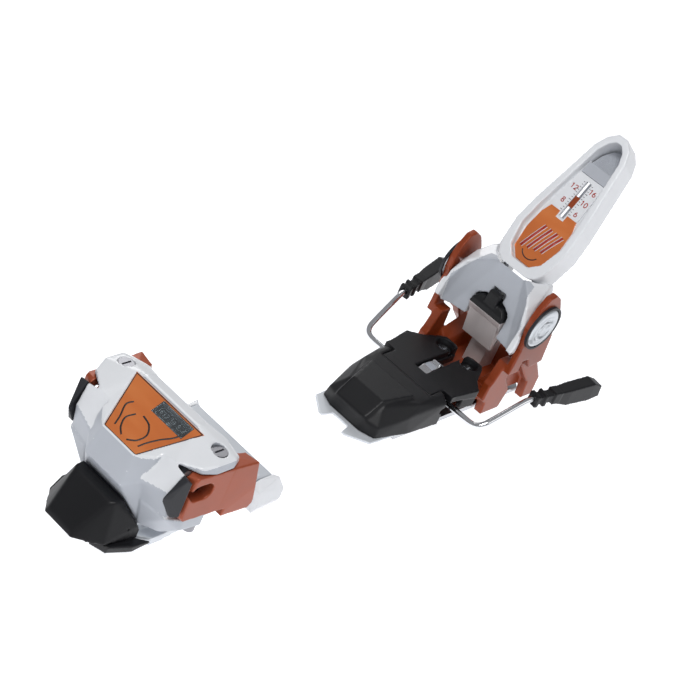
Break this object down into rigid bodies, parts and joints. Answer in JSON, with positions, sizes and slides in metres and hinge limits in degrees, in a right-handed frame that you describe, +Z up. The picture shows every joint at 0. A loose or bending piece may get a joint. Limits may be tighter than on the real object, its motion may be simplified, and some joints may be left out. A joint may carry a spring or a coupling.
{
  "type": "ski binding",
  "caption": "Alpine ski binding set: toe unit with swinging side wings and sliding sole plate, heel unit with step-in hood, release lever and ski brake, in white, copper and black.",
  "frame": {"origin": "centre of the heel unit's four-screw pattern, on the ski surface", "axes": "+X from the toe unit to the heel unit, +Y to the skier's right, +Z up from the ski"},
  "size_m": [0.4154, 0.1434, 0.1781],
  "materials": {
    "white_shell": "satin",
    "grey_shell": "satin",
    "black_plastic": "fine grain",
    "dark_plastic": "fine grain",
    "orange_label": "satin metallic",
    "copper_paint": "satin metallic",
    "wing_paint": "satin",
    "window_glass": "clear",
    "scale_paper": "printed",
    "steel": "brushed",
    "bright_steel": "polished",
    "spring_steel": "oiled",
    "light_plate": "satin",
    "silver_disc": "satin",
    "pad_grey": "satin",
    "white_block": "satin",
    "red_index": "gloss"
  },
  "bodies": {
    "heel_base": {"heel_track": "steel", "heel_front_plate": "light_plate", "brake_cap": "black_plastic", "pedal_pin": "steel"},
    "brake_arms": {"brake_shaft": "steel", "brake_wire_left": "bright_steel", "brake_wire_right": "bright_steel", "brake_grip_left": "black_plastic", "brake_grip_right": "black_plastic"},
    "brake_pedal_unit": {"brake_pedal": "black_plastic", "pedal_clip": "bright_steel", "pedal_screw_left": "bright_steel", "pedal_screw_right": "bright_steel"},
    "carriage_unit": {"carriage": "copper_paint", "heel_cam": "dark_plastic", "pivot_pin_left": "steel", "pivot_pin_right": "steel", "pivot_rim_left": "dark_plastic", "pivot_rim_right": "dark_plastic", "pivot_disc_left": "silver_disc", "pivot_disc_right": "silver_disc"},
    "pressure_screw_unit": {"pressure_screw": "steel"},
    "heel_jaw": {"heel_housing": "white_shell", "heel_treadle": "black_plastic", "heel_step_plate": "steel", "lever_pin": "steel"},
    "heel_piston_unit": {"heel_piston": "steel", "heel_spring": "spring_steel"},
    "lever_unit": {"lever": "white_shell", "lever_label": "orange_label", "lever_scale": "white_block", "lever_band": "grey_shell", "lever_pad": "grey_shell"},
    "lever_screw_unit": {"lever_screw": "steel"},
    "lever_indicator_unit": {"lever_indicator": "red_index"},
    "toe_unit": {"toe_base": "light_plate", "toe_lug_left": "black_plastic", "toe_lug_right": "black_plastic", "toe_nose": "black_plastic", "toe_housing": "white_shell", "toe_label": "orange_label", "toe_window": "window_glass", "toe_scale": "scale_paper", "toe_pad_left": "dark_plastic", "toe_pad_right": "dark_plastic", "toe_pin_left": "steel", "toe_pin_right": "steel", "afd_frame": "dark_plastic", "afd_stop": "grey_shell"},
    "toe_wing_right_unit": {"toe_wing_right": "wing_paint"},
    "toe_wing_left_unit": {"toe_wing_left": "wing_paint"},
    "toe_cup_right_unit": {"toe_spring_cup_right": "steel", "toe_guide_pin": "steel", "toe_spring": "spring_steel"},
    "toe_cup_left_unit": {"toe_spring_cup_left": "steel"},
    "toe_setting_screw_unit": {"toe_setting_screw": "steel"},
    "toe_indicator_unit": {"toe_indicator": "white_block"},
    "sole_plate_unit": {"afd_plate": "pad_grey", "afd_block_left": "white_block", "afd_block_right": "white_block"}
  },
  "joints": [
    {"name": "heel_forward_pressure", "type": "slide", "parent": "heel_base", "child": "carriage_unit", "axis": [1, 0, 0], "range_m": [0, 0.008]},
    {"name": "pressure_screw_turn", "type": "hinge", "parent": "carriage_unit", "child": "pressure_screw_unit", "pos_m": [0.045, 0, 0.0181], "axis": [1, 0, 0], "range_deg": [0, 1160]},
    {"name": "heel_open", "type": "hinge", "parent": "carriage_unit", "child": "heel_jaw", "pos_m": [0.0135, 0, 0.0714], "axis": [0, 1, 0], "range_deg": [0, 45]},
    {"name": "heel_piston_slide", "type": "slide", "parent": "heel_jaw", "child": "heel_piston_unit", "axis": [0, 0, 1], "range_m": [0, 0.0025], "deforming": ["heel_spring"]},
    {"name": "lever_lift", "type": "hinge", "parent": "heel_jaw", "child": "lever_unit", "pos_m": [0.031, 0, 0.075], "axis": [0, 1, 0], "range_deg": [0, 8]},
    {"name": "lever_screw_turn", "type": "hinge", "parent": "lever_unit", "child": "lever_screw_unit", "pos_m": [0.05992, 0, 0.13238], "axis": [0.5505, 0, 0.8348], "range_deg": [-1460, 2180]},
    {"name": "lever_index_slide", "type": "slide", "parent": "lever_unit", "child": "lever_indicator_unit", "axis": [0.5505, 0, 0.8348], "range_m": [-0.007, 0.0105]},
    {"name": "brake_deploy", "type": "hinge", "parent": "heel_base", "child": "brake_arms", "pos_m": [-0.032, 0, 0.014], "axis": [0, 1, 0], "range_deg": [0, 60]},
    {"name": "pedal_rise", "type": "hinge", "parent": "heel_base", "child": "brake_pedal_unit", "pos_m": [-0.0445, 0, 0.0155], "axis": [0, -1, 0], "range_deg": [0, 16]},
    {"name": "toe_mounting_slide", "type": "slide", "parent": "heel_base", "child": "toe_unit", "axis": [-1, 0, 0], "range_m": [0, 0.1]},
    {"name": "toe_wing_right_turn", "type": "hinge", "parent": "toe_unit", "child": "toe_wing_right_unit", "pos_m": [-0.2688, 0.0364, 0.045], "axis": [0, 0, 1], "range_deg": [0, 25]},
    {"name": "toe_wing_left_turn", "type": "hinge", "parent": "toe_unit", "child": "toe_wing_left_unit", "pos_m": [-0.2688, -0.0364, 0.045], "axis": [0, 0, -1], "range_deg": [0, 25]},
    {"name": "toe_cup_right_slide", "type": "slide", "parent": "toe_unit", "child": "toe_cup_right_unit", "axis": [0, -1, 0], "range_m": [0, 0.0054], "deforming": ["toe_spring"]},
    {"name": "toe_cup_left_slide", "type": "slide", "parent": "toe_unit", "child": "toe_cup_left_unit", "axis": [0, 1, 0], "range_m": [0, 0.0054]},
    {"name": "toe_setting_turn", "type": "hinge", "parent": "toe_cup_left_unit", "child": "toe_setting_screw_unit", "pos_m": [-0.281, -0.022, 0.0489], "axis": [0, 1, 0], "range_deg": [-1820, 1820]},
    {"name": "toe_index_slide", "type": "slide", "parent": "toe_unit", "child": "toe_indicator_unit", "axis": [0, 1, 0], "range_m": [-0.00625, 0.00625]},
    {"name": "sole_plate_slide", "type": "slide", "parent": "toe_unit", "child": "sole_plate_unit", "axis": [0, 1, 0], "range_m": [-0.006, 0.006], "stiffness_N_per_m": 800}
  ],
  "couplings": [
    {"joint": "pressure_screw_turn", "follows": "heel_forward_pressure", "rad_per_m": 2513.3},
    {"joint": "heel_piston_slide", "follows": "heel_open", "m_per_rad": 0.003056},
    {"joint": "lever_screw_turn", "follows": "lever_index_slide", "rad_per_m": 3590.4},
    {"joint": "pedal_rise", "follows": "brake_deploy", "ratio": 0.2667},
    {"joint": "toe_cup_right_slide", "follows": "toe_wing_right_turn", "m_per_rad": 0.0122},
    {"joint": "toe_cup_left_slide", "follows": "toe_wing_left_turn", "m_per_rad": 0.0122},
    {"joint": "toe_setting_turn", "follows": "toe_index_slide", "rad_per_m": 5026.5}
  ]
}
